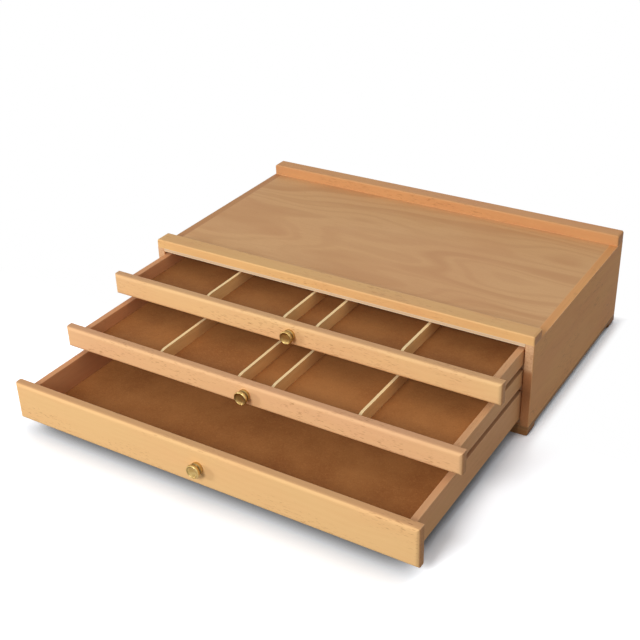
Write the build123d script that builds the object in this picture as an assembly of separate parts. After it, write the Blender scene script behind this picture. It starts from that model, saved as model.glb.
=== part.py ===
from build123d import *
import os

# Three-drawer wooden box for pastels: a low case with a plywood top between two rails,
# three full-width drawers on wooden runners, thin dividers in the upper two drawers.
# X runs to the right seen from the front, Y to the back, Z up, millimetres.
# The origin is on the floor, in the middle of the space the box takes with its drawers out.

# case
case_width = 400.0
case_depth = 230.0
side_thick = 8.0
back_thick = 8.0
top_thick = 3.0
bottom_thick = 3.5
foot_height = 6.0
foot_depth = 16.0
foot_end_round = 3.0
panel_edge_round = 0.8

# rails on the top board
front_rail_depth = 17.3
front_rail_height = 8.7
rear_rail_depth = 15.5
rear_rail_height = 11.0
rail_edge_round = 1.4
rail_end_round = 2.2

# runners fixed to the inside of the case
runner_width = 6.5
lower_runner_height = 5.4
runner_setback = 3.0
slide_gap = 0.3
side_gap = 1.0
head_gap = 2.7

# drawer boxes
box_rear_gap = 6.0
box_hold = 16.0
box_side_thick = 6.0
box_back_thick = 6.0
shallow_side_height = 15.3
deep_side_height = 27.9
floor_thick = 2.3
floor_lift = 0.2
rebate_depth = 3.0
rebate_gap = 0.1
box_edge_round = 0.6

# drawer fronts
front_thick = 8.5
front_rise = 5.7
front_gap = 0.6
front_clear = 2.3
front_edge_round = 3.2
front_back_round = 0.8

# dividers
divider_thick = 2.6
middle_bay_width = 32.0
housing_depth = 2.0
housing_gap = 0.1
divider_dip = 7.0
divider_dip_length = 14.0

# knobs and their screws
knob_head_radius = 6.4
knob_rim_radius = 5.6
knob_head_thick = 3.0
knob_reach = 7.8
knob_dish = 0.7
knob_flange_radius = 5.6
knob_flange_thick = 2.8
knob_flange_round = 0.7
knob_neck_radius = 4.2
knob_seat_step = 0.5
rim_steps = 4
neck_steps = 3
dish_steps = 2
screw_radius = 1.5
screw_head_radius = 3.2
screw_head_thick = 2.0
screw_head_slope = 0.7
screw_bite = 5.0
tapped_gap = 0.05
screw_tip_gap = 0.5
shank_gap = 0.3

# how far the upper drawers are pulled out; the bottom one is as far out as it goes
top_pull = 58.5
middle_pull = 130.0

# places that follow from the sizes
box_length = case_depth - back_thick - box_rear_gap
bottom_pull = box_length - box_hold
case_front = (bottom_pull + front_thick + knob_reach - case_depth) / 2
case_back = case_front + case_depth
back_front = case_back - back_thick
half_case = case_width / 2
inner_half = half_case - side_thick
box_half = inner_half - side_gap
box_inner_half = box_half - box_side_thick
bottom_top = foot_height + bottom_thick
runner_step = front_rise + front_gap
runner_height = runner_step - 2 * slide_gap
bottom_box_z = bottom_top + lower_runner_height + slide_gap
middle_box_z = bottom_box_z + deep_side_height + runner_step
top_box_z = middle_box_z + shallow_side_height + runner_step
case_top = top_box_z + shallow_side_height + head_gap
board_top = case_top + top_thick


def block(x_span, y_span, z_span):
    """A plain board between two planes each way."""
    size = [high - low for low, high in (x_span, y_span, z_span)]
    middle = [(high + low) / 2 for low, high in (x_span, y_span, z_span)]
    return Pos(*middle) * Box(*size)


def soften(board, axis, radius):
    """A board with its long edges along one axis rounded."""
    return fillet(board.edges().filter_by(axis), radius)


def side_panel(sign):
    """One side of the case, from the bottom board up to the rails."""
    x_span = sorted((sign * inner_half, sign * half_case))
    panel = block(x_span, (case_front, case_back), (bottom_top, board_top))
    return soften(panel, Axis.Z, panel_edge_round)


def top_board():
    """The plywood top, let in between the sides and lying on the back."""
    return block((-inner_half, inner_half), (case_front, case_back), (case_top, board_top))


def bottom_board():
    """The plywood bottom, under the sides and the back."""
    board = block((-half_case, half_case), (case_front, case_back), (foot_height, bottom_top))
    return soften(board, Axis.Z, panel_edge_round)


def back_panel():
    """The back, between the sides, on the bottom board."""
    return block((-inner_half, inner_half), (back_front, case_back), (bottom_top, case_top))


def top_rail(y_span, height):
    """A rail along the top board: softened long edges, rounder upper corners at its ends."""
    rail = block((-half_case, half_case), y_span, (board_top, board_top + height))
    upper = rail.faces().sort_by(Axis.Z)[-1]
    rail = fillet(upper.edges().filter_by(Axis.Y), rail_end_round)
    return fillet(rail.faces().sort_by(Axis.Z)[-1].edges().filter_by(Axis.X), rail_edge_round)


def foot_rail(y_span):
    """A cross rail that the box stands on, rounded under its ends."""
    rail = block((-half_case, half_case), y_span, (0, foot_height))
    under = rail.faces().sort_by(Axis.Z)[0]
    return fillet(under.edges().filter_by(Axis.Y), foot_end_round)


def runner(sign, z_low, height):
    """A strip along one side of the case that a drawer box slides on."""
    x_span = sorted((sign * inner_half, sign * (inner_half - runner_width)))
    y_span = (case_front + runner_setback, back_front)
    strip = block(x_span, y_span, (z_low, z_low + height))
    ends = strip.faces().sort_by(Axis.Y)[0]
    return fillet(ends.edges().filter_by(Axis.Z), panel_edge_round)


def divider_places():
    """The middles of the four dividers: a narrow bay between them, equal bays outside."""
    inner = (middle_bay_width + divider_thick) / 2
    bay = (box_inner_half - middle_bay_width / 2 - 2 * divider_thick) / 2
    outer = inner + divider_thick + bay
    return (-outer, -inner, inner, outer)


def floor_rebate(box_z, y_inner, y_outer):
    """The room for the floor's edges, with play, up from the lower edge of the box."""
    reach = box_inner_half + rebate_depth + rebate_gap
    z_high = box_z + floor_lift + floor_thick + rebate_gap
    return block((-reach, reach), (y_inner, y_outer), (box_z, z_high))


def drawer_front(front_y, z_span, box_z, dividers):
    """An overlay front: rounded face edges, a rebate for the floor, housings, a screw hole."""
    front = block((-half_case, half_case), (front_y - front_thick, front_y), z_span)
    front = fillet(front.faces().sort_by(Axis.Y)[-1].edges(), front_back_round)
    front = fillet(front.faces().sort_by(Axis.Y)[0].edges(), front_edge_round)
    front -= floor_rebate(box_z, front_y - rebate_depth - rebate_gap, front_y)
    for x in dividers:
        front -= housing(x, (front_y - housing_depth - housing_gap, front_y), box_z, z_span[1])
    knob_z = sum(z_span) / 2
    hole = Rot(90, 0, 0) * Cylinder(screw_radius + shank_gap, 2 * front_thick)
    return front - Pos(0, front_y - front_thick / 2, knob_z) * hole


def housing(x, y_span, box_z, front_top):
    """The slot that a divider's end stands in, up to the height of the box."""
    half = divider_thick / 2 + housing_gap
    z_low = box_z + floor_lift + floor_thick
    z_high = front_top - front_rise + housing_gap
    return block((x - half, x + half), y_span, (z_low, z_high))


def box_side(sign, front_y, box_z, height):
    """A drawer side with the rebate that holds the floor."""
    x_span = sorted((sign * box_inner_half, sign * box_half))
    side = block(x_span, (front_y, front_y + box_length), (box_z, box_z + height))
    upper = side.faces().sort_by(Axis.Z)[-1]
    side = fillet(upper.edges().filter_by(Axis.Y), box_edge_round)
    rear = front_y + box_length - box_back_thick + rebate_depth + rebate_gap
    return side - floor_rebate(box_z, front_y, rear)


def box_back(front_y, box_z, height, dividers):
    """The drawer back, between the sides, rebated for the floor and housed for the dividers."""
    rear = front_y + box_length
    inner = rear - box_back_thick
    back = block((-box_inner_half, box_inner_half), (inner, rear), (box_z, box_z + height))
    back -= floor_rebate(box_z, inner, inner + rebate_depth + rebate_gap)
    for x in dividers:
        slot = (inner, inner + housing_depth + housing_gap)
        back -= housing(x, slot, box_z, box_z + height + front_rise)
    return back


def box_floor(front_y, box_z):
    """The hardboard floor, let into the front, the sides and the back."""
    reach = box_inner_half + rebate_depth
    y_span = (front_y - rebate_depth, front_y + box_length - box_back_thick + rebate_depth)
    z_low = box_z + floor_lift
    return block((-reach, reach), y_span, (z_low, z_low + floor_thick))


def divider(x, front_y, box_z, height):
    """A thin upright board whose top edge dips in a long curve towards the front."""
    y_low = front_y - housing_depth
    y_high = front_y + box_length - box_back_thick + housing_depth
    z_low = box_z + floor_lift + floor_thick
    z_high = box_z + height
    dip_end = (front_y + divider_dip_length, z_high)
    dip_start = (front_y, z_high - divider_dip)
    outline = [
        TangentArc(dip_end, dip_start, tangent=(-1, 0)),
        Polyline(dip_start, (y_low, z_high - divider_dip), (y_low, z_low), (y_high, z_low),
                 (y_high, z_high), dip_end),
    ]
    board = extrude(Plane.YZ * make_face(outline), amount=divider_thick / 2, both=True)
    return Pos(x, 0, 0) * board


def turned_arc(arc, steps):
    """An arc of a turned section, as the short straight cuts of the lathe."""
    return Polyline(*(arc @ (step / steps) for step in range(steps + 1)))


def knob_profile():
    """Half the section of a knob: X is the radius, -Y the reach from the drawer front."""
    hole = screw_radius + tapped_gap
    hole_depth = screw_bite + screw_tip_gap
    rim_back = -(knob_reach - knob_head_thick)
    rim_middle = rim_back - knob_head_thick / 2
    flange_top = -knob_flange_thick
    flange_edge = knob_flange_radius - knob_flange_round
    neck_foot = flange_edge - knob_seat_step
    neck_middle = (flange_top + rim_back) / 2
    rim_front = (knob_rim_radius, -knob_reach)
    dish_floor = (0, knob_dish - knob_reach)
    neck = ThreePointArc((neck_foot, flange_top), (knob_neck_radius, neck_middle),
                         (knob_rim_radius, rim_back))
    rim = ThreePointArc((knob_rim_radius, rim_back), (knob_head_radius, rim_middle), rim_front)
    dish = TangentArc(dish_floor, rim_front, tangent=(1, 0))
    return make_face([
        Polyline((hole, 0), (flange_edge, 0), (knob_flange_radius, -knob_flange_round),
                 (knob_flange_radius, flange_top + knob_flange_round), (flange_edge, flange_top),
                 (neck_foot, flange_top)),
        turned_arc(neck, neck_steps),
        turned_arc(rim, rim_steps),
        turned_arc(dish, dish_steps),
        Polyline(dish_floor, (0, -hole_depth), (hole, -hole_depth), (hole, 0)),
    ])


def knob(front_y, z):
    """A turned brass knob with a flange, a waist and a dished, beaded head."""
    turned = revolve(knob_profile(), axis=Axis.Y)
    return Pos(0, front_y - front_thick, z) * turned


def knob_screw(front_y, z):
    """The screw that holds a knob from inside the drawer."""
    length = front_thick + screw_bite
    shank = Pos(0, -length / 2, 0) * Rot(90, 0, 0) * Cylinder(screw_radius, length)
    head = Pos(0, screw_head_thick / 2, 0) * Rot(90, 0, 0)
    head *= Cylinder(screw_head_radius, screw_head_thick)
    head = chamfer(head.edges().sort_by(Axis.Y)[-1], screw_head_slope)
    return Pos(0, front_y, z) * (head + shank)


def drawer(name, pull, box_z, height, front_low, dividers):
    """Every piece of one drawer, pulled out of the case."""
    front_y = case_front - pull
    z_span = (front_low, box_z + height + front_rise)
    knob_z = sum(z_span) / 2
    pieces = {
        f"{name}_drawer_front": drawer_front(front_y, z_span, box_z, dividers),
        f"{name}_drawer_left_side": box_side(-1, front_y, box_z, height),
        f"{name}_drawer_right_side": box_side(1, front_y, box_z, height),
        f"{name}_drawer_back": box_back(front_y, box_z, height, dividers),
        f"{name}_drawer_floor": box_floor(front_y, box_z),
        f"{name}_drawer_knob": knob(front_y, knob_z),
        f"{name}_drawer_knob_screw": knob_screw(front_y, knob_z),
    }
    for number, x in enumerate(dividers, start=1):
        pieces[f"{name}_drawer_divider_{number}"] = divider(x, front_y, box_z, height)
    return pieces


def case():
    """Every piece of the case."""
    pieces = {
        "left_side_panel": side_panel(-1),
        "right_side_panel": side_panel(1),
        "top_board": top_board(),
        "bottom_board": bottom_board(),
        "back_panel": back_panel(),
        "front_top_rail": top_rail((case_front, case_front + front_rail_depth), front_rail_height),
        "rear_top_rail": top_rail((case_back - rear_rail_depth, case_back), rear_rail_height),
        "front_foot_rail": foot_rail((case_front, case_front + foot_depth)),
        "rear_foot_rail": foot_rail((case_back - foot_depth, case_back)),
    }
    levels = {
        "lower": (bottom_top, lower_runner_height),
        "middle": (middle_box_z - slide_gap - runner_height, runner_height),
        "upper": (top_box_z - slide_gap - runner_height, runner_height),
    }
    for level, (z_low, height) in levels.items():
        pieces[f"{level}_left_runner"] = runner(-1, z_low, height)
        pieces[f"{level}_right_runner"] = runner(1, z_low, height)
    return pieces


def all_pieces():
    """The case and its drawers: the upper two have fronts level with their boxes below."""
    places = divider_places()
    bottom_low = bottom_top + front_clear
    pieces = case()
    pieces |= drawer("top", top_pull, top_box_z, shallow_side_height, top_box_z, places)
    pieces |= drawer("middle", middle_pull, middle_box_z, shallow_side_height, middle_box_z, places)
    pieces |= drawer("bottom", bottom_pull, bottom_box_z, deep_side_height, bottom_low, ())
    return pieces


os.makedirs("parts", exist_ok=True)
for name, solid in all_pieces().items():
    export_step(solid, f"parts/{name}.step")
print("front of the case at Y", case_front)
print("top drawer box at Z", top_box_z, "top of the board at Z", board_top)
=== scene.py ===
import bpy, bmesh, math, random
from mathutils import Matrix, Vector


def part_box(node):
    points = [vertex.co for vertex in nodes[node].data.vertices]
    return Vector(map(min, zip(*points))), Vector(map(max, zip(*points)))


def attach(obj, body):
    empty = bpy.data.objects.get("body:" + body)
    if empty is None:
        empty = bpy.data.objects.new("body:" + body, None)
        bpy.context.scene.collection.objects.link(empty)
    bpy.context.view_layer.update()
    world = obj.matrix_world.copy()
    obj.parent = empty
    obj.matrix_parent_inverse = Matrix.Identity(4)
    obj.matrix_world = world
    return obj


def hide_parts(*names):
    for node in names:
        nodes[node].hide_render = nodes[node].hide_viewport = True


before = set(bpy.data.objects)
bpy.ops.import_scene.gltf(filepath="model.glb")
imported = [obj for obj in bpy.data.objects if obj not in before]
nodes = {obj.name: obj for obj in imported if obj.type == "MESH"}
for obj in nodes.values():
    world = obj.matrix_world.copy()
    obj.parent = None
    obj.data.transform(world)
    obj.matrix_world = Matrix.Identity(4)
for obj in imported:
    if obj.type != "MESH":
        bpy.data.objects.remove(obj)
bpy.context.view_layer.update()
print("frame loaded")


def tint(red, green, blue):  # a colour as a paint chart gives it, made linear
    def flat(part):
        part = part / 255
        return part / 12.92 if part <= 0.04045 else ((part + 0.055) / 1.055) ** 2.4
    return (flat(red), flat(green), flat(blue), 1.0)


class Signal:  # a socket that adds its own Math nodes
    def __init__(self, owner, socket):
        self.owner, self.socket = owner, socket

    def math(self, operation, first, second=0.0):
        return self.owner.add("ShaderNodeMath", {"operation": operation}, {0: first, 1: second})

    def __add__(self, other): return self.math("ADD", self, other)
    def __radd__(self, other): return self.math("ADD", other, self)
    def __sub__(self, other): return self.math("SUBTRACT", self, other)
    def __rsub__(self, other): return self.math("SUBTRACT", other, self)
    def __mul__(self, other): return self.math("MULTIPLY", self, other)
    def __rmul__(self, other): return self.math("MULTIPLY", other, self)
    def __truediv__(self, other): return self.math("DIVIDE", self, other)
    def __abs__(self): return self.math("ABSOLUTE", self)
    def least(self, other): return self.math("MINIMUM", self, other)
    def most(self, other): return self.math("MAXIMUM", self, other)
    def root(self): return self.math("SQRT", self)
    def wave(self): return self.math("SINE", self) * 0.5 + 0.5  # from 0 to 1 and back
    def part(self, name): return Signal(self.owner, self.socket.node.outputs[name])

    def rise(self, low, high):  # 0 below low, 1 above high
        settings = {"clamp": True, "interpolation_type": "SMOOTHSTEP"}
        sockets = {0: self, 1: low, 2: high, 3: 0.0, 4: 1.0}
        return self.owner.add("ShaderNodeMapRange", settings, sockets)


class NodeSet:  # a node tree and the ways to add to it
    def __init__(self, tree):
        self.tree = tree
        self.tree.nodes.clear()

    def add(self, kind, settings=None, sockets=None, out=0):
        node = self.tree.nodes.new(kind)
        for key, value in (settings or {}).items():
            setattr(node, key, value)
        for key, value in (sockets or {}).items():
            if isinstance(value, Signal):
                self.tree.links.new(value.socket, node.inputs[key])
            else:
                node.inputs[key].default_value = value
        return Signal(self, node.outputs[out])

    def end(self, kind, shader):  # the output node
        output = self.tree.nodes.new(kind)
        self.tree.links.new(shader.socket, output.inputs["Surface"])

    def mix(self, amount, first, second, blend="MIX"):
        settings = {"data_type": "RGBA", "blend_type": blend, "clamp_factor": True}
        return self.add("ShaderNodeMix", settings, {0: amount, 6: first, 7: second}, out=2)

    def point(self, x, y, z):
        return self.add("ShaderNodeCombineXYZ", {}, {0: x, 1: y, 2: z})

    def noise(self, vector, scale=1.0, detail=2.0, roughness=0.5, distortion=0.0):
        sockets = {"Vector": vector, "Scale": scale, "Detail": detail, "Roughness": roughness,
                   "Distortion": distortion}
        return self.add("ShaderNodeTexNoise", {"noise_dimensions": "3D"}, sockets)

    def layer(self, spot, scales, detail=2.0, roughness=0.5):  # noise drawn out by its scales
        scaled = [part * scale for part, scale in zip(spot, scales)]
        return self.noise(self.point(*scaled), detail=detail, roughness=roughness)

    def place(self):  # the point on the piece, as three numbers
        coords = self.add("ShaderNodeTexCoord", {}, {}, out="Object")
        split = self.add("ShaderNodeSeparateXYZ", {}, {0: coords})
        return [split.part(axis) for axis in "XYZ"]

    def facing(self):  # the way the surface faces, as three numbers
        normal = self.add("ShaderNodeNewGeometry", {}, {}, out="Normal")
        split = self.add("ShaderNodeSeparateXYZ", {}, {0: normal})
        return [split.part(axis) for axis in "XYZ"]


class Finish(NodeSet):  # one material
    def __init__(self, name):
        self.material = bpy.data.materials.new(name)
        self.material.use_nodes = True
        super().__init__(self.material.node_tree)

    def surface(self, colour, roughness, height, relief, constants):
        strength, depth = relief
        bump = {"Strength": strength, "Distance": depth, "Height": height}
        sockets = {"Base Color": colour, "Roughness": roughness,
                   "Normal": self.add("ShaderNodeBump", {}, bump)}
        sockets.update(constants)
        shader = self.add("ShaderNodeBsdfPrincipled", {}, sockets)
        self.end("ShaderNodeOutputMaterial", shader)
        return self.material


# Solid beech, board by board: tone, growth lines, ray flecks, fibres, end grain, and pale edges
# that are partly rubbed wear and partly a painted highlight.
# A scale says how often a layer's noise changes in a metre, along the grain, across it and
# inwards. A rise says where the layer sets in and where it is full, an amount how strong it is.
beech = {
    "light": tint(236, 190, 134), "deep": tint(214, 158, 103), "pink": tint(226, 168, 125),
    "fleck": tint(168, 112, 66), "wearAndPaintedLight": tint(246, 208, 160),
    "endGrain": tint(196, 140, 94), "endMark": tint(162, 108, 68),
    "ringWidth": 0.0052, "ringSway": 9.0, "ringLean": 1.35, "ringDepth": 0.30,
    "swayScale": (3, 16, 16), "fibreScale": (55, 1500, 1500), "patchScale": (7, 26, 26),
    "blotchScale": (18, 70, 70), "dashScale": (150, 1350, 1350), "clusterScale": (11, 40, 40),
    "poreScale": (20, 900, 900), "streakScale": (20, 90, 700),
    "ringRise": (0.15, 0.95), "ringPatch": (0.25, 0.75), "pinkRise": (0.40, 0.68),
    "blotchRise": (0.45, 0.7), "fibreRise": (0.35, 0.75), "dashRise": (0.605, 0.69),
    "clusterRise": (0.42, 0.62), "poreRise": (0.42, 0.66), "streakRise": (0.5, 0.7),
    "endRise": (0.72, 0.9), "topRise": (0.75, 0.97), "rubRise": (0.3, 0.6),
    "pinkAmount": 0.55, "blotchAmount": 0.18, "fibreAmount": 0.22, "fleckAmount": 0.55,
    "poreAmount": 0.45, "streakAmount": 0.3, "endAmount": 0.85, "rub": 0.14,
    "edgeStart": 0.0001, "edgeWidth": 0.0013,
    "paintedTopShade": 0.0, "shade": tint(220, 210, 214),  # how far an upper face is darkened, as painted shade
    "shadowHeight": 0.0, "shadowBlur": 0.003, "shadowEven": 0.75,  # end grain is painted browner up to here: a painted shadow
    "paintedShadow": tint(184, 123, 78),
    "gloss": 0.52, "fibreGloss": 0.14, "rubGloss": 0.08, "specular": 0.18,
    "fibreRelief": 0.5, "fleckRelief": 1.5, "relief": (0.22, 0.0003),
}


def beechBoard(name, grain, seed, look=None, flecks=1.0):
    values = dict(beech, **(look or {}))
    dice = random.Random(seed)
    finish = Finish("beech_" + name)
    x, y, z = finish.place()
    order = {"X": (x, y, z), "Y": (y, x, z)}[grain]
    along, across, deep = [part + dice.uniform(-3, 3) for part in order]
    spot = (along, across, deep)
    low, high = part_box(name)

    sway = finish.layer(spot, values["swayScale"], 3.0)
    lean = dice.uniform(0.35, 1.0)
    ringPlace = (across * lean + deep * (values["ringLean"] - lean)) / values["ringWidth"]
    ringPlace = ringPlace + sway * values["ringSway"]
    rings = (ringPlace * (2 * math.pi)).wave()
    fibre = finish.layer(spot, values["fibreScale"], 3.0, 0.6)
    patch = finish.layer(spot, values["patchScale"], 3.0, 0.55)
    blotch = finish.layer(spot, values["blotchScale"])
    dash = finish.layer(spot, values["dashScale"], 1.0)
    cluster = finish.layer(spot, values["clusterScale"], 1.0)

    dashes = dash.rise(*values["dashRise"]) * cluster.rise(*values["clusterRise"])
    dashes = dashes * (values["fleckAmount"] * flecks)
    ringed = rings.rise(*values["ringRise"]) * values["ringDepth"]
    ringed = ringed * patch.rise(*values["ringPatch"])
    blushed = patch.rise(*values["pinkRise"]) * values["pinkAmount"]
    blushed = blushed + blotch.rise(*values["blotchRise"]) * values["blotchAmount"]
    fibrous = fibre.rise(*values["fibreRise"]) * values["fibreAmount"]
    colour = finish.mix(ringed, values["light"], values["deep"])
    colour = finish.mix(blushed, colour, values["pink"])
    colour = finish.mix(fibrous, colour, values["deep"])
    colour = finish.mix(dashes, colour, values["fleck"])

    facing = dict(zip("XYZ", finish.facing()))
    end = abs(facing[grain]).rise(*values["endRise"])
    pores = finish.layer(spot, values["poreScale"], 3.0)
    streak = finish.layer(spot, values["streakScale"])
    marked = pores.rise(*values["poreRise"]) * values["poreAmount"]
    marked = marked + streak.rise(*values["streakRise"]) * values["streakAmount"]
    endColour = finish.mix(marked, values["endGrain"], values["endMark"])
    colour = finish.mix(end * values["endAmount"], colour, endColour)

    # near an edge, the second smallest of the three gaps to the board's faces is small
    gaps = [(at - lo).least(hi - at) for at, lo, hi in zip((x, y, z), low, high)]
    first = gaps[0].least(gaps[1])
    second = gaps[0].most(gaps[1])
    edge = first.most(second.least(gaps[2]))
    # edges are painted paler in patches: partly rubbed wear, partly a painted edge highlight
    rubbed = 1 - edge.rise(values["edgeStart"], values["edgeWidth"])
    rubbed = rubbed * patch.rise(*values["rubRise"])
    colour = finish.mix(rubbed * values["rub"], colour, values["wearAndPaintedLight"])
    # upper faces are darkened toward the shade tint: painted shade
    if values["paintedTopShade"]:
        upward = facing["Z"].rise(*values["topRise"])
        colour = finish.mix(upward * values["paintedTopShade"], colour, values["shade"], "MULTIPLY")
    # end grain below a given height is painted browner: a painted shadow
    if values["shadowHeight"]:
        blur = values["shadowBlur"]
        under = (1 - z.rise(values["shadowHeight"] - blur, values["shadowHeight"] + blur)) * end
        uneven = pores * (1 - values["shadowEven"]) + values["shadowEven"]
        colour = finish.mix(under * uneven, colour, values["paintedShadow"])

    height = fibre * values["fibreRelief"] - dashes * values["fleckRelief"] + pores * end
    roughness = fibre * values["fibreGloss"] + values["gloss"] - rubbed * values["rubGloss"]
    return finish.surface(colour, roughness, height, values["relief"],
                          {"Specular IOR Level": values["specular"]})


# Thin plywood: a peeled face with wide sweeping figure, and pale plies on its edges
plywood = {
    "face": tint(217, 169, 118), "band": tint(199, 146, 98), "pale": tint(223, 177, 127),
    "rosy": tint(209, 153, 106), "edge": tint(226, 202, 170), "glue": tint(150, 104, 66),
    "wideScale": (2.6, 8.5, 30), "fibreScale": (45, 1100, 900), "patchScale": (6, 14, 20),
    "dashScale": (300, 1500, 900), "blushScale": (5, 9, 1),
    "wideBands": (46, 60), "narrowBands": (120, 210),  # how far they sweep, how close they are
    "bandRise": (0.55, 1.0), "bandPatch": (0.3, 0.6), "paleRise": (0.5, 0.75),
    "blushRise": (0.44, 0.7), "fibreRise": (0.35, 0.75), "dashRise": (0.64, 0.71),
    "bandAmount": 0.78, "narrowAmount": 0.34, "paleAmount": 0.5, "blushAmount": 0.34,
    "fibreAmount": 0.28, "dashAmount": 0.4, "flankRise": (0.6, 0.9),
    "coreRise": (0.12, 0.18), "gluePlace": 0.16, "glueRise": (0.008, 0.035), "glueAmount": 0.5,
    "gloss": 0.52, "fibreGloss": 0.14, "specular": 0.2,
    "fibreRelief": 0.6, "relief": (0.18, 0.0003),
}


def plywoodBoard(name, grain, thin, seed, look=None, figure=1.0):
    values = dict(plywood, **(look or {}))
    dice = random.Random(seed)
    finish = Finish("plywood_" + name)
    x, y, z = finish.place()
    order = {"X": (x, y), "Y": (y, x)}[grain]
    along, across = [part + dice.uniform(-2, 2) for part in order]
    spot = (along, across, z)
    low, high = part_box(name)

    wide = finish.layer(spot, values["wideScale"], 2.0, 0.45)
    bands, narrow = [(wide * sweep + across * count).wave()
                     for sweep, count in (values["wideBands"], values["narrowBands"])]
    fibre = finish.layer(spot, values["fibreScale"], 3.0, 0.6)
    patch = finish.layer(spot, values["patchScale"], 3.0)
    dash = finish.layer(spot, values["dashScale"], 1.0)
    blush = finish.layer(spot, values["blushScale"])

    dashes = dash.rise(*values["dashRise"]) * values["dashAmount"]
    banded = bands.rise(*values["bandRise"]) * patch.rise(*values["bandPatch"])
    banded = banded * (values["bandAmount"] * figure)
    lined = narrow.rise(*values["bandRise"]) * (values["narrowAmount"] * figure)
    blushed = blush.rise(*values["blushRise"]) * (values["blushAmount"] * figure)
    fibrous = fibre.rise(*values["fibreRise"]) * values["fibreAmount"] + dashes
    colour = finish.mix(banded, values["face"], values["band"])
    colour = finish.mix(lined, colour, values["band"])
    paled = patch.rise(*values["paleRise"]) * values["paleAmount"]
    colour = finish.mix(paled, colour, values["pale"])
    colour = finish.mix(blushed, colour, values["rosy"])
    colour = finish.mix(fibrous, colour, values["band"])

    facing = dict(zip("XYZ", finish.facing()))
    flank = 1 - abs(facing[thin]).rise(*values["flankRise"])
    axis = "XYZ".index(thin)
    inward = ((x, y, z)[axis] - low[axis]) / (high[axis] - low[axis])
    fromMiddle = abs(inward - 0.5)
    core = fromMiddle.rise(*values["coreRise"])
    glue = 1 - abs(fromMiddle - values["gluePlace"]).rise(*values["glueRise"])
    edgeColour = finish.mix(fibre, values["pale"], values["edge"])
    edgeColour = finish.mix(core, edgeColour, values["edge"])
    edgeColour = finish.mix(glue * values["glueAmount"], edgeColour, values["glue"])
    colour = finish.mix(flank, colour, edgeColour)
    roughness = fibre * values["fibreGloss"] + values["gloss"]
    return finish.surface(colour, roughness, fibre * values["fibreRelief"] - dashes,
                          values["relief"], {"Specular IOR Level": values["specular"]})


# Brown hardboard: pressed fibres, specks and a rubbed, dusty face
hardboard = {
    "base": tint(176, 117, 64), "dark": tint(158, 100, 52), "light": tint(194, 134, 77),
    "speck": tint(124, 77, 38),
    "cloudScale": 22, "fibreScale": 420, "speckScale": 900, "rubScale": 9,
    "cloudRise": (0.32, 0.7), "fibreRise": (0.42, 0.72), "speckRise": (0.62, 0.72),
    "rubRise": (0.5, 0.75), "fibreAmount": 0.5, "speckAmount": 0.5, "rubAmount": 0.28,
    "gloss": 0.62, "fibreGloss": 0.2, "specular": 0.3,
    "fibreRelief": 0.7, "speckRelief": 0.3, "relief": (0.25, 0.0002),
}


def hardboardFloor(name, seed, shade):
    values = hardboard
    dice = random.Random(seed)
    finish = Finish("hardboard_" + name)
    x, y, z = finish.place()
    spot = finish.point(x + dice.uniform(-2, 2), y + dice.uniform(-2, 2), z)
    cloud = finish.noise(spot, values["cloudScale"], 4.0, 0.6)
    fibre = finish.noise(spot, values["fibreScale"], 4.0, 0.65, 1.5)
    speck = finish.noise(spot, values["speckScale"], 2.0, 0.5)
    rub = finish.noise(spot, values["rubScale"], 2.0, 0.5, 0.6)
    fibrous = fibre.rise(*values["fibreRise"]) * values["fibreAmount"]
    specked = speck.rise(*values["speckRise"]) * values["speckAmount"]
    rubbed = rub.rise(*values["rubRise"]) * values["rubAmount"]
    colour = finish.mix(cloud.rise(*values["cloudRise"]), values["base"], values["dark"])
    colour = finish.mix(fibrous, colour, values["light"])
    colour = finish.mix(specked, colour, values["speck"])
    colour = finish.mix(rubbed, colour, values["light"])
    colour = finish.mix(1.0, colour, (shade, shade, shade, 1.0), "MULTIPLY")
    height = fibre * values["fibreRelief"] + speck * values["speckRelief"]
    return finish.surface(colour, fibre * values["fibreGloss"] + values["gloss"], height,
                          values["relief"], {"Specular IOR Level": values["specular"]})


# Brass knobs, turned smooth, with tarnish and painted shade in the waist and in the ring inside
# the rim, and fine lathe rings
brass = {
    "metal": tint(212, 184, 122), "warm": tint(176, 144, 84), "tarnishAndPaintedShade": tint(84, 60, 32),
    "smudgeScale": 260, "grimeScale": 900, "lathe": 10400.0,
    "smudgeRise": (0.38, 0.62), "smudgeAmount": 0.8, "grimeRise": (0.6, 0.75), "grimeAmount": 0.12,
    "waistFrom": (2.0, 3.4), "waistTo": (4.4, 5.2),  # millimetres from the wood
    "waistAmount": 0.85, "waistLeast": 0.6, "waistSmudge": 0.6,
    "rimFrom": (0.0043, 0.0049), "rimTo": (0.0051, 0.0054), "rimReach": (7.0, 7.3),
    "rimAmount": 0.5, "gloss": 0.34, "glossRise": (0.3, 0.8), "smudgeGloss": 0.16,
    "waistGloss": 0.12, "latheRelief": 0.4, "grimeRelief": 0.6, "relief": (0.08, 0.00005),
}


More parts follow.
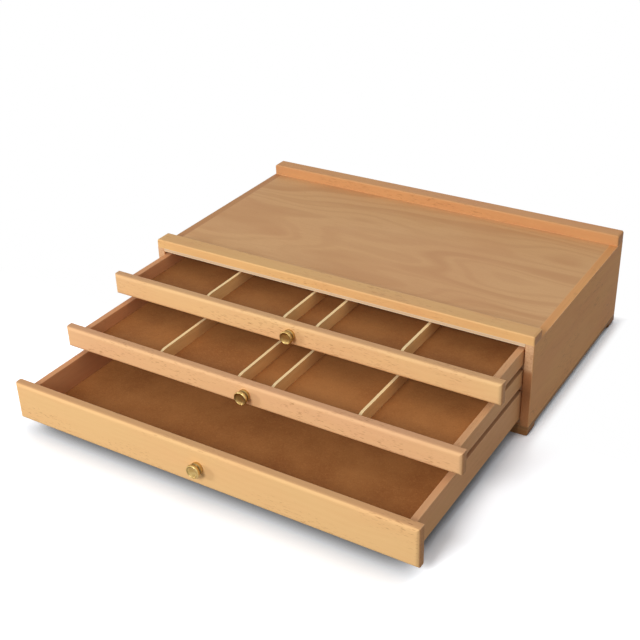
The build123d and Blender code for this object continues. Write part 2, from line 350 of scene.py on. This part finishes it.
def brassKnob(name, centre, front):
    values = brass
    finish = Finish("brass_" + name)
    x, y, z = finish.place()
    side, up = x - centre[0], z - centre[2]
    radius = (side * side + up * up).root()
    reach = (front - y) * 1000  # in millimetres
    smudge = finish.noise(finish.point(x, y, z), values["smudgeScale"], 3.0, 0.6)
    grime = finish.noise(finish.point(x, y, z), values["grimeScale"], 2.0)
    lathe = (radius * values["lathe"]).wave()
    # the waist and the ring inside the rim are darkened: tarnish and painted shade
    waist = reach.rise(*values["waistFrom"]) * (1 - reach.rise(*values["waistTo"]))
    waist = waist * (values["waistLeast"] + smudge * values["waistSmudge"])
    rim = radius.rise(*values["rimFrom"]) * (1 - radius.rise(*values["rimTo"]))
    rim = rim * reach.rise(*values["rimReach"])
    wearAndPaintedLight = waist * values["waistAmount"] + rim * values["rimAmount"]
    wearAndPaintedLight = wearAndPaintedLight + grime.rise(*values["grimeRise"]) * values["grimeAmount"]
    smudged = smudge.rise(*values["smudgeRise"]) * values["smudgeAmount"]
    colour = finish.mix(smudged, values["metal"], values["warm"])
    colour = finish.mix(wearAndPaintedLight, colour, values["tarnishAndPaintedShade"])
    roughness = smudge.rise(*values["glossRise"]) * values["smudgeGloss"] + values["gloss"]
    height = lathe * values["latheRelief"] + grime * values["grimeRelief"]
    return finish.surface(colour, roughness + waist * values["waistGloss"], height,
                          values["relief"], {"Metallic": 1.0})


# Zinc screws behind the knobs: a pan head with a crossed slot, the slot painted dark as its shade
zinc = {
    "bright": tint(196, 198, 202), "dull": tint(150, 154, 162), "scratched": tint(112, 112, 116),
    "slotShade": tint(52, 52, 56), "slotWide": (0.0003, 0.0005), "slotLong": (0.0017, 0.0019),
    "headRise": (0.5, 0.8), "slotAmount": 0.85, "cloudScale": 700, "cloudRise": (0.35, 0.7),
    "scratchScale": (400, 400, 5000), "scratchRise": (0.6, 0.7), "scratchAmount": 0.4,
    "gloss": 0.26, "cloudGloss": 0.2, "scratchRelief": 0.1, "relief": (0.4, 0.0002),
}


def zincScrew(name):
    values = zinc
    finish = Finish("zinc_" + name)
    x, y, z = finish.place()
    low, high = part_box(name + "_knob_screw")
    side, up = [abs(at - (low[axis] + high[axis]) / 2) for at, axis in ((x, 0), (z, 2))]
    slots = [(1 - thin.rise(*values["slotWide"])) * (1 - long.rise(*values["slotLong"]))
             for thin, long in ((side, up), (up, side))]
    slot = slots[0].most(slots[1]) * finish.facing()[1].rise(*values["headRise"])
    cloud = finish.noise(finish.point(x, y, z), values["cloudScale"], 3.0, 0.6)
    scratch = finish.layer((x, y, z), values["scratchScale"])
    scratched = scratch.rise(*values["scratchRise"]) * values["scratchAmount"]
    colour = finish.mix(cloud.rise(*values["cloudRise"]), values["bright"], values["dull"])
    colour = finish.mix(scratched, colour, values["scratched"])
    # the slot is painted dark: painted shade in the recess
    colour = finish.mix(slot * values["slotAmount"], colour, values["slotShade"])
    return finish.surface(colour, cloud * values["cloudGloss"] + values["gloss"],
                          scratch * values["scratchRelief"] - slot, values["relief"],
                          {"Metallic": 1.0})


# Turned pieces: a half section spun round by Geometry Nodes
turning = {
    "sides": 72, "bore": 0.0016, "mergeWithin": 0.000002,
    "flangeRadius": 0.0056, "flangeThick": 0.0034, "flangeBack": 0.0002, "flangeRound": 0.0004,
    "neckRadius": 0.0049, "neckRound": 0.0004,
    "headRadius": 0.0064, "headThick": 0.0034, "headBulge": 0.55,
    "rimRadius": 0.0059, "rimOut": 0.0001, "rimBack": 0.00012,
    "reach": 0.0078, "lip": 0.0007, "lipDrop": 0.0001,
    "bowlIn": 0.00012, "bowlDrop": 0.00024, "dish": 0.0008, "bowlPower": 3,
    "flangeSteps": 8, "neckSteps": 10, "headSteps": 14, "lipSteps": 5, "bowlSteps": 12,
}


def spinTree(material):
    tree = bpy.data.node_groups.new("spinSection", "GeometryNodeTree")
    for name, kind in (("Section", "Geometry"), ("Sides", "Int"), ("Steps", "Int"),
                       ("Centre", "Vector")):
        tree.interface.new_socket(name, in_out="INPUT", socket_type="NodeSocket" + kind)
    tree.interface.new_socket("Mesh", in_out="OUTPUT", socket_type="NodeSocketGeometry")

    def add(kind, settings=None, sockets=None):
        node = tree.nodes.new(kind)
        for key, value in (settings or {}).items():
            setattr(node, key, value)
        for key, value in (sockets or {}).items():
            if isinstance(value, bpy.types.NodeSocket):
                tree.links.new(value, node.inputs[key])
            else:
                node.inputs[key].default_value = value
        return node

    def maths(operation, first, second=0.0):
        return add("ShaderNodeMath", {"operation": operation}, {0: first, 1: second}).outputs[0]

    given = add("NodeGroupInput").outputs
    grid = add("GeometryNodeMeshGrid", {}, {"Vertices X": given["Steps"],
                                            "Vertices Y": given["Sides"]})
    index = add("GeometryNodeInputIndex").outputs[0]
    row = maths("FLOOR", maths("DIVIDE", index, given["Sides"]))
    column = maths("SUBTRACT", index, maths("MULTIPLY", row, given["Sides"]))
    turn = maths("DIVIDE", maths("MULTIPLY", column, 2 * math.pi),
                 maths("SUBTRACT", given["Sides"], 1.0))
    place = add("GeometryNodeInputPosition").outputs[0]
    sample = add("GeometryNodeSampleIndex", {"data_type": "FLOAT_VECTOR"},
                 {"Geometry": given["Section"], "Value": place, "Index": row})
    split = add("ShaderNodeSeparateXYZ", {}, {0: sample.outputs[0]}).outputs
    across = maths("MULTIPLY", split[0], maths("COSINE", turn))
    up = maths("MULTIPLY", split[0], maths("SINE", turn))
    spun = add("ShaderNodeCombineXYZ", {}, {0: across, 1: split[1], 2: up}).outputs[0]
    moved = add("ShaderNodeVectorMath", {"operation": "ADD"}, {0: spun, 1: given["Centre"]})
    bent = add("GeometryNodeSetPosition", {}, {"Geometry": grid.outputs[0],
                                               "Position": moved.outputs[0]})
    closed = add("GeometryNodeMergeByDistance", {}, {"Geometry": bent.outputs[0],
                                                     "Distance": turning["mergeWithin"]})
    smooth = add("GeometryNodeSetShadeSmooth", {}, {"Geometry": closed.outputs[0]})
    real = add("GeometryNodeRealizeInstances", {}, {"Geometry": smooth.outputs[0]})
    painted = add("GeometryNodeSetMaterial", {}, {"Geometry": real.outputs[0],
                                                  "Material": material})
    add("NodeGroupOutput", {}, {0: painted.outputs[0]})
    return tree


def bend(start, middle, end, count):  # a smooth bend through three points
    points = []
    for n in range(1, count + 1):
        t = n / count
        pull = [2 * middle[i] - (start[i] + end[i]) / 2 for i in (0, 1)]
        points.append(tuple((1 - t) ** 2 * start[i] + 2 * t * (1 - t) * pull[i] + t * t * end[i]
                            for i in (0, 1)))
    return points


def knobSection():  # radius and reach, from the wood to the middle of the dish
    t = turning
    headBack = t["reach"] - t["headThick"]
    points = [(t["bore"], 0.0), (t["flangeRadius"] - t["flangeBack"], 0.0)]
    points += bend(points[-1], (t["flangeRadius"], t["flangeThick"] / 2),
                   (t["flangeRadius"] - t["flangeRound"], t["flangeThick"]), t["flangeSteps"])
    points += bend(points[-1], (t["neckRadius"], (t["flangeThick"] + headBack) / 2),
                   (t["rimRadius"] - t["neckRound"], headBack), t["neckSteps"])
    points += bend(points[-1], (t["headRadius"], headBack + t["headThick"] * t["headBulge"]),
                   (t["rimRadius"] + t["rimOut"], t["reach"] - t["rimBack"]), t["headSteps"])
    lip = t["rimRadius"] - t["lip"]
    points += bend(points[-1], (t["rimRadius"] - t["lip"] / 2, t["reach"]),
                   (lip, t["reach"] - t["lipDrop"]), t["lipSteps"])
    bowlRadius, bowlReach = lip - t["bowlIn"], t["reach"] - t["bowlDrop"]
    points.append((bowlRadius, bowlReach))
    for n in range(1, t["bowlSteps"] + 1):
        radius = bowlRadius * (1 - n / t["bowlSteps"])
        sunk = t["dish"] * (1 - (radius / bowlRadius) ** t["bowlPower"])
        points.append((radius, bowlReach - sunk))
    return points


def spinPiece(name, section, centre, material):
    mesh = bpy.data.meshes.new(name + "_section")
    mesh.from_pydata([(radius, -reach, 0.0) for radius, reach in section],
                     [(n, n + 1) for n in range(len(section) - 1)], [])
    piece = bpy.data.objects.new(name + "_section", mesh)
    bpy.context.scene.collection.objects.link(piece)
    tree = spinTree(material)
    modifier = piece.modifiers.new("spin", "NODES")
    modifier.node_group = tree
    wanted = {"Sides": turning["sides"] + 1, "Steps": len(section), "Centre": centre}
    for item in tree.interface.items_tree:
        if item.in_out == "INPUT" and item.name in wanted:
            modifier[item.identifier] = wanted[item.name]
    seen = piece.evaluated_get(bpy.context.evaluated_depsgraph_get())
    done = bpy.data.meshes.new_from_object(seen)
    bpy.data.objects.remove(piece)
    shape = bmesh.new()
    shape.from_mesh(done)
    bmesh.ops.recalc_face_normals(shape, faces=shape.faces)
    shape.to_mesh(done)
    shape.free()
    turned = bpy.data.objects.new(name, done)
    bpy.context.scene.collection.objects.link(turned)
    return turned


def wear(name, material):  # a CAD piece gets its finish
    piece = nodes[name]
    piece.data.materials.clear()
    piece.data.materials.append(material)


# The case: which way the grain runs in each board, and how its beech differs from the rest
caseGrain = {
    "left_side_panel": "Y", "right_side_panel": "Y", "back_panel": "X",
    "front_top_rail": "X", "rear_top_rail": "X", "front_foot_rail": "X", "rear_foot_rail": "X",
    "lower_left_runner": "Y", "lower_right_runner": "Y", "middle_left_runner": "Y",
    "middle_right_runner": "Y", "upper_left_runner": "Y", "upper_right_runner": "Y",
}
sideLook = {
    "light": tint(224, 164, 102), "deep": tint(205, 146, 88), "pink": tint(220, 154, 98),
    "endGrain": tint(224, 182, 142), "endMark": tint(186, 136, 98),
}
# the foot rails are a darker copy of the beech: painted shade
paintedShadeFootLook = {
    "light": tint(170, 118, 72), "deep": tint(150, 100, 58), "pink": tint(160, 106, 66),
    "endGrain": tint(140, 92, 56),
}
# a top shade darkens upper faces as painted shade; the right panel's end grain gets a painted
# shadow
caseLooks = {
    "left_side_panel": dict(sideLook, paintedTopShade=1.0, shade=tint(222, 222, 236)),
    # the right panel's front edge carries a painted shadow below this height
    "right_side_panel": dict(sideLook, shadowHeight=0.066),
    "front_top_rail": {
        "light": tint(235, 188, 126), "deep": tint(222, 171, 110), "pink": tint(230, 172, 116),
        "paintedTopShade": 0.45, "shade": tint(222, 220, 222)},
    "rear_top_rail": {
        "light": tint(213, 157, 104), "deep": tint(202, 145, 92), "pink": tint(208, 146, 98)},
    "front_foot_rail": paintedShadeFootLook, "rear_foot_rail": paintedShadeFootLook,
}
# the bottom board's plies are darkened: painted shade
paintedShadePlies = {"edge": tint(166, 120, 78), "pale": tint(150, 104, 64), "glue": tint(118, 76, 46)}

for count, (name, grain) in enumerate(caseGrain.items()):
    wear(name, beechBoard(name, grain, 100 + count, caseLooks.get(name, sideLook)))
wear("top_board", plywoodBoard("top_board", "X", "Z", 21))
wear("bottom_board", plywoodBoard("bottom_board", "X", "Z", 22, paintedShadePlies, figure=0.5))
print("case boards finished")

# The drawers: each front's own tone, the boxes, their dividers, and floors darker higher up; the
# fronts' and box sides' tops are darkened and the left sides are a darker copy, as painted shade
frontLooks = {
    "top": {"light": tint(236, 193, 137), "deep": tint(224, 175, 118), "pink": tint(230, 180, 132),
            "paintedTopShade": 0.8},
    "middle": {"light": tint(234, 187, 136), "deep": tint(224, 173, 123),
               "pink": tint(233, 183, 138), "paintedTopShade": 0.8},
    "bottom": {"light": tint(234, 190, 132), "deep": tint(223, 174, 116),
               "pink": tint(236, 186, 130), "paintedTopShade": 0.9},
}
# the box sides' tops are darkened as painted shade
boxLook = {
    "light": tint(228, 176, 122), "deep": tint(208, 153, 102), "pink": tint(224, 164, 116),
    "paintedTopShade": 0.5, "shade": tint(224, 226, 246),
}
# the drawers' left sides, seen from inside, are a darker copy: painted shade
paintedShadeLeftLook = {"light": tint(214, 156, 110), "deep": tint(192, 134, 92), "pink": tint(208, 146, 104)}
dividerLook = {
    "rosy": tint(233, 180, 124), "face": tint(241, 198, 135), "band": tint(225, 176, 114),
    "pale": tint(250, 214, 160), "edge": tint(252, 226, 174), "glue": tint(224, 188, 134),
}
floorShades = {"top": 0.82, "middle": 0.94, "bottom": 1.0}
dividerCounts = {"top": 4, "middle": 4, "bottom": 0}

for count, drawer in enumerate(("top", "middle", "bottom")):
    body = drawer + "_drawer"
    wear(body + "_front", beechBoard(body + "_front", "X", 200 + count, frontLooks[drawer]))
    for number, part in enumerate(("left_side", "right_side", "back")):
        name = f"{body}_{part}"
        grain = "X" if part == "back" else "Y"
        # left sides take the darker copy, as painted shade
        look = paintedShadeLeftLook if part == "left_side" else boxLook
        wear(name, beechBoard(name, grain, 300 + 10 * count + number, look, flecks=0.6))
    wear(body + "_floor", hardboardFloor(body + "_floor", 400 + count, floorShades[drawer]))
    wear(body + "_knob_screw", zincScrew(body))
    low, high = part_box(body + "_knob")
    centre = Vector([(a + b) / 2 for a, b in zip(low, high)])
    face = high[1]
    knob = spinPiece(body + "_turned_knob", knobSection(), (centre.x, face, centre.z),
                     brassKnob(body, centre, face))
    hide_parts(body + "_knob")
    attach(knob, body)
    for number in range(1, dividerCounts[drawer] + 1):
        name = f"{body}_divider_{number}"
        seed = 500 + 10 * count + number
        wear(name, plywoodBoard(name, "Y", "X", seed, dividerLook, figure=0.6))
print("drawers finished")


# Studio: a large key light in front and above, a small low one from the front left, and a
# low one behind. The floor and the room show white, and the floor keeps the shadows, with a
# painted dark shadow added near the object.
lights = {
    "keyLight": {"power": 22.4, "size": 0.6, "place": (0.0, -1.75, 1.15),
                 "colour": (1.0, 0.985, 0.96)},
    "sideLight": {"power": 6.2, "size": 0.22, "place": (-1.2, -1.1, 0.34),
                  "colour": (1.0, 1.0, 1.0)},
    "backLight": {"power": 6.0, "size": 0.6, "place": (-0.6, 1.75, 0.1),
                  "colour": (1.0, 1.0, 1.0)},
}
studio = {
    "aim": (0.0, -0.08, 0.04), "world": 0.46, "white": (1.0, 1.0, 1.0, 1.0), "floorReach": 6.0,
    "floorShown": (1.52, 1.58, 1.66, 1.0),  # the floor as the camera sees it
    "floorMirrored": (0.95, 0.95, 0.95, 1.0),  # as the brass shows it
    "floorBounce": (0.24, 0.24, 0.24, 1.0),  # as it lights the object
    "shadowEnds": (0.36, 0.62),  # metres from the middle over which shadow turns to white
    "creaseShadowColour": (0.020, 0.026, 0.034, 1.0), "creaseSamples": 16, "creaseRise": (0.14, 0.66),
    "creaseThin": 0.014, "creaseWide": 0.055,  # the painted crease shadow's spread, at the case and ahead
    "aheadRise": (-0.02, 0.07),  # metres ahead of the case's front over which it widens
    # before the bottom drawer's front the painted crease shadow is softer, and never darker than
    # this
    "underFront": (-0.03, 0.002), "underSide": (-0.004, 0.012), "underLeast": 0.2,
    # beside and behind the case the floor turns white, but not ahead of its front
    "besideRise": (0.002, 0.013), "besideFront": (-0.035, 0.01),
}

for name, light in lights.items():
    data = bpy.data.lights.new(name, "AREA")
    data.energy, data.size, data.color = light["power"], light["size"], light["colour"]
    lamp = bpy.data.objects.new(name, data)
    lamp.location = light["place"]
    aim = Vector(studio["aim"]) - Vector(light["place"])
    lamp.rotation_euler = aim.to_track_quat("-Z", "Y").to_euler()
    bpy.context.scene.collection.objects.link(lamp)


def seenDirectly(nodeSet):  # seen by the camera, straight or in metal or through glass
    rays = nodeSet.add("ShaderNodeLightPath")
    mirrored = rays.part("Is Glossy Ray").most(rays.part("Is Transmission Ray"))
    return rays.part("Is Camera Ray").most(mirrored), mirrored


far = studio["floorReach"]
floorMesh = bpy.data.meshes.new("studioFloor")
floorMesh.from_pydata([(-far, -far, 0), (far, -far, 0), (far, far, 0), (-far, far, 0)],
                      [], [(0, 1, 2, 3)])
floor = bpy.data.objects.new("studioFloor", floorMesh)
bpy.context.scene.collection.objects.link(floor)

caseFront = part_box("left_side_panel")[0][1]
caseSide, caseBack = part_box("right_side_panel")[1][:2]
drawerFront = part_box("bottom_drawer_front")[0][1]
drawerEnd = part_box("bottom_drawer_front")[1][0]
floorFinish = Finish("paleFloor")
shown, mirrored = seenDirectly(floorFinish)
x, y, z = floorFinish.place()
ahead = (caseFront - y).rise(*studio["aheadRise"])
under = (drawerFront - y).rise(*studio["underFront"]) * (drawerEnd - x).rise(*studio["underSide"])
reach = ahead * (studio["creaseWide"] - studio["creaseThin"]) + studio["creaseThin"]
# an Ambient Occlusion node paints a dark shadow into the floor's colour near the object
creaseShadow = floorFinish.add("ShaderNodeAmbientOcclusion", {"samples": studio["creaseSamples"]},
                         {"Distance": reach}).part("AO")
soft = creaseShadow * (1 - studio["underLeast"]) + studio["underLeast"]
creaseShadow = creaseShadow.rise(*studio["creaseRise"]) * (1 - under) + soft * under
lit = floorFinish.mix(creaseShadow, studio["creaseShadowColour"], studio["floorShown"])
pale = floorFinish.mix(shown, studio["floorBounce"], lit)
pale = floorFinish.mix(mirrored, pale, studio["floorMirrored"])
matt = floorFinish.add("ShaderNodeBsdfDiffuse", {}, {"Color": pale})
white = floorFinish.add("ShaderNodeEmission", {}, {"Color": studio["white"], "Strength": 1.0})
away = (x * x + y * y).root().rise(*studio["shadowEnds"])
beside = (abs(x) - caseSide).most(y - caseBack).rise(*studio["besideRise"])
beside = beside * (y - caseFront).rise(*studio["besideFront"])
whitened = away.most(beside) * shown
both = floorFinish.add("ShaderNodeMixShader", {}, {0: whitened, 1: matt, 2: white})
floorFinish.end("ShaderNodeOutputMaterial", both)
floorMesh.materials.append(floorFinish.material)

world = bpy.data.worlds.new("whiteRoom")
bpy.context.scene.world = world
world.use_nodes = True
room = NodeSet(world.node_tree)
shown = seenDirectly(room)[0]
strength = room.add("ShaderNodeMix", {"data_type": "FLOAT"},
                    {0: shown, 2: studio["world"], 3: 1.0})
sky = room.add("ShaderNodeBackground", {}, {"Color": studio["white"], "Strength": strength})
room.end("ShaderNodeOutputWorld", sky)

camera = {
    "lens": 62.498, "sensor": 36.0, "clip": (0.01, 50),
    "place": (0.472455, caseFront - 0.762436, 0.576940),
    "right": (0.85289564, 0.52132145, -0.0281598), "up": (-0.23860399, 0.43720174, 0.86713481),
    "forward": (-0.46436748, 0.73285646, -0.49727684),
}
lensData = bpy.data.cameras.new("camera")
lensData.lens, lensData.sensor_width = camera["lens"], camera["sensor"]
lensData.sensor_fit = "HORIZONTAL"
lensData.clip_start, lensData.clip_end = camera["clip"]
eye = bpy.data.objects.new("camera", lensData)
bpy.context.scene.collection.objects.link(eye)
backward = [-part for part in camera["forward"]]
turn = Matrix([camera["right"], camera["up"], backward]).transposed()
eye.matrix_world = Matrix.Translation(camera["place"]) @ turn.to_4x4()
bpy.context.scene.camera = eye
bpy.context.scene.view_settings.view_transform = "Standard"
print("studio ready")
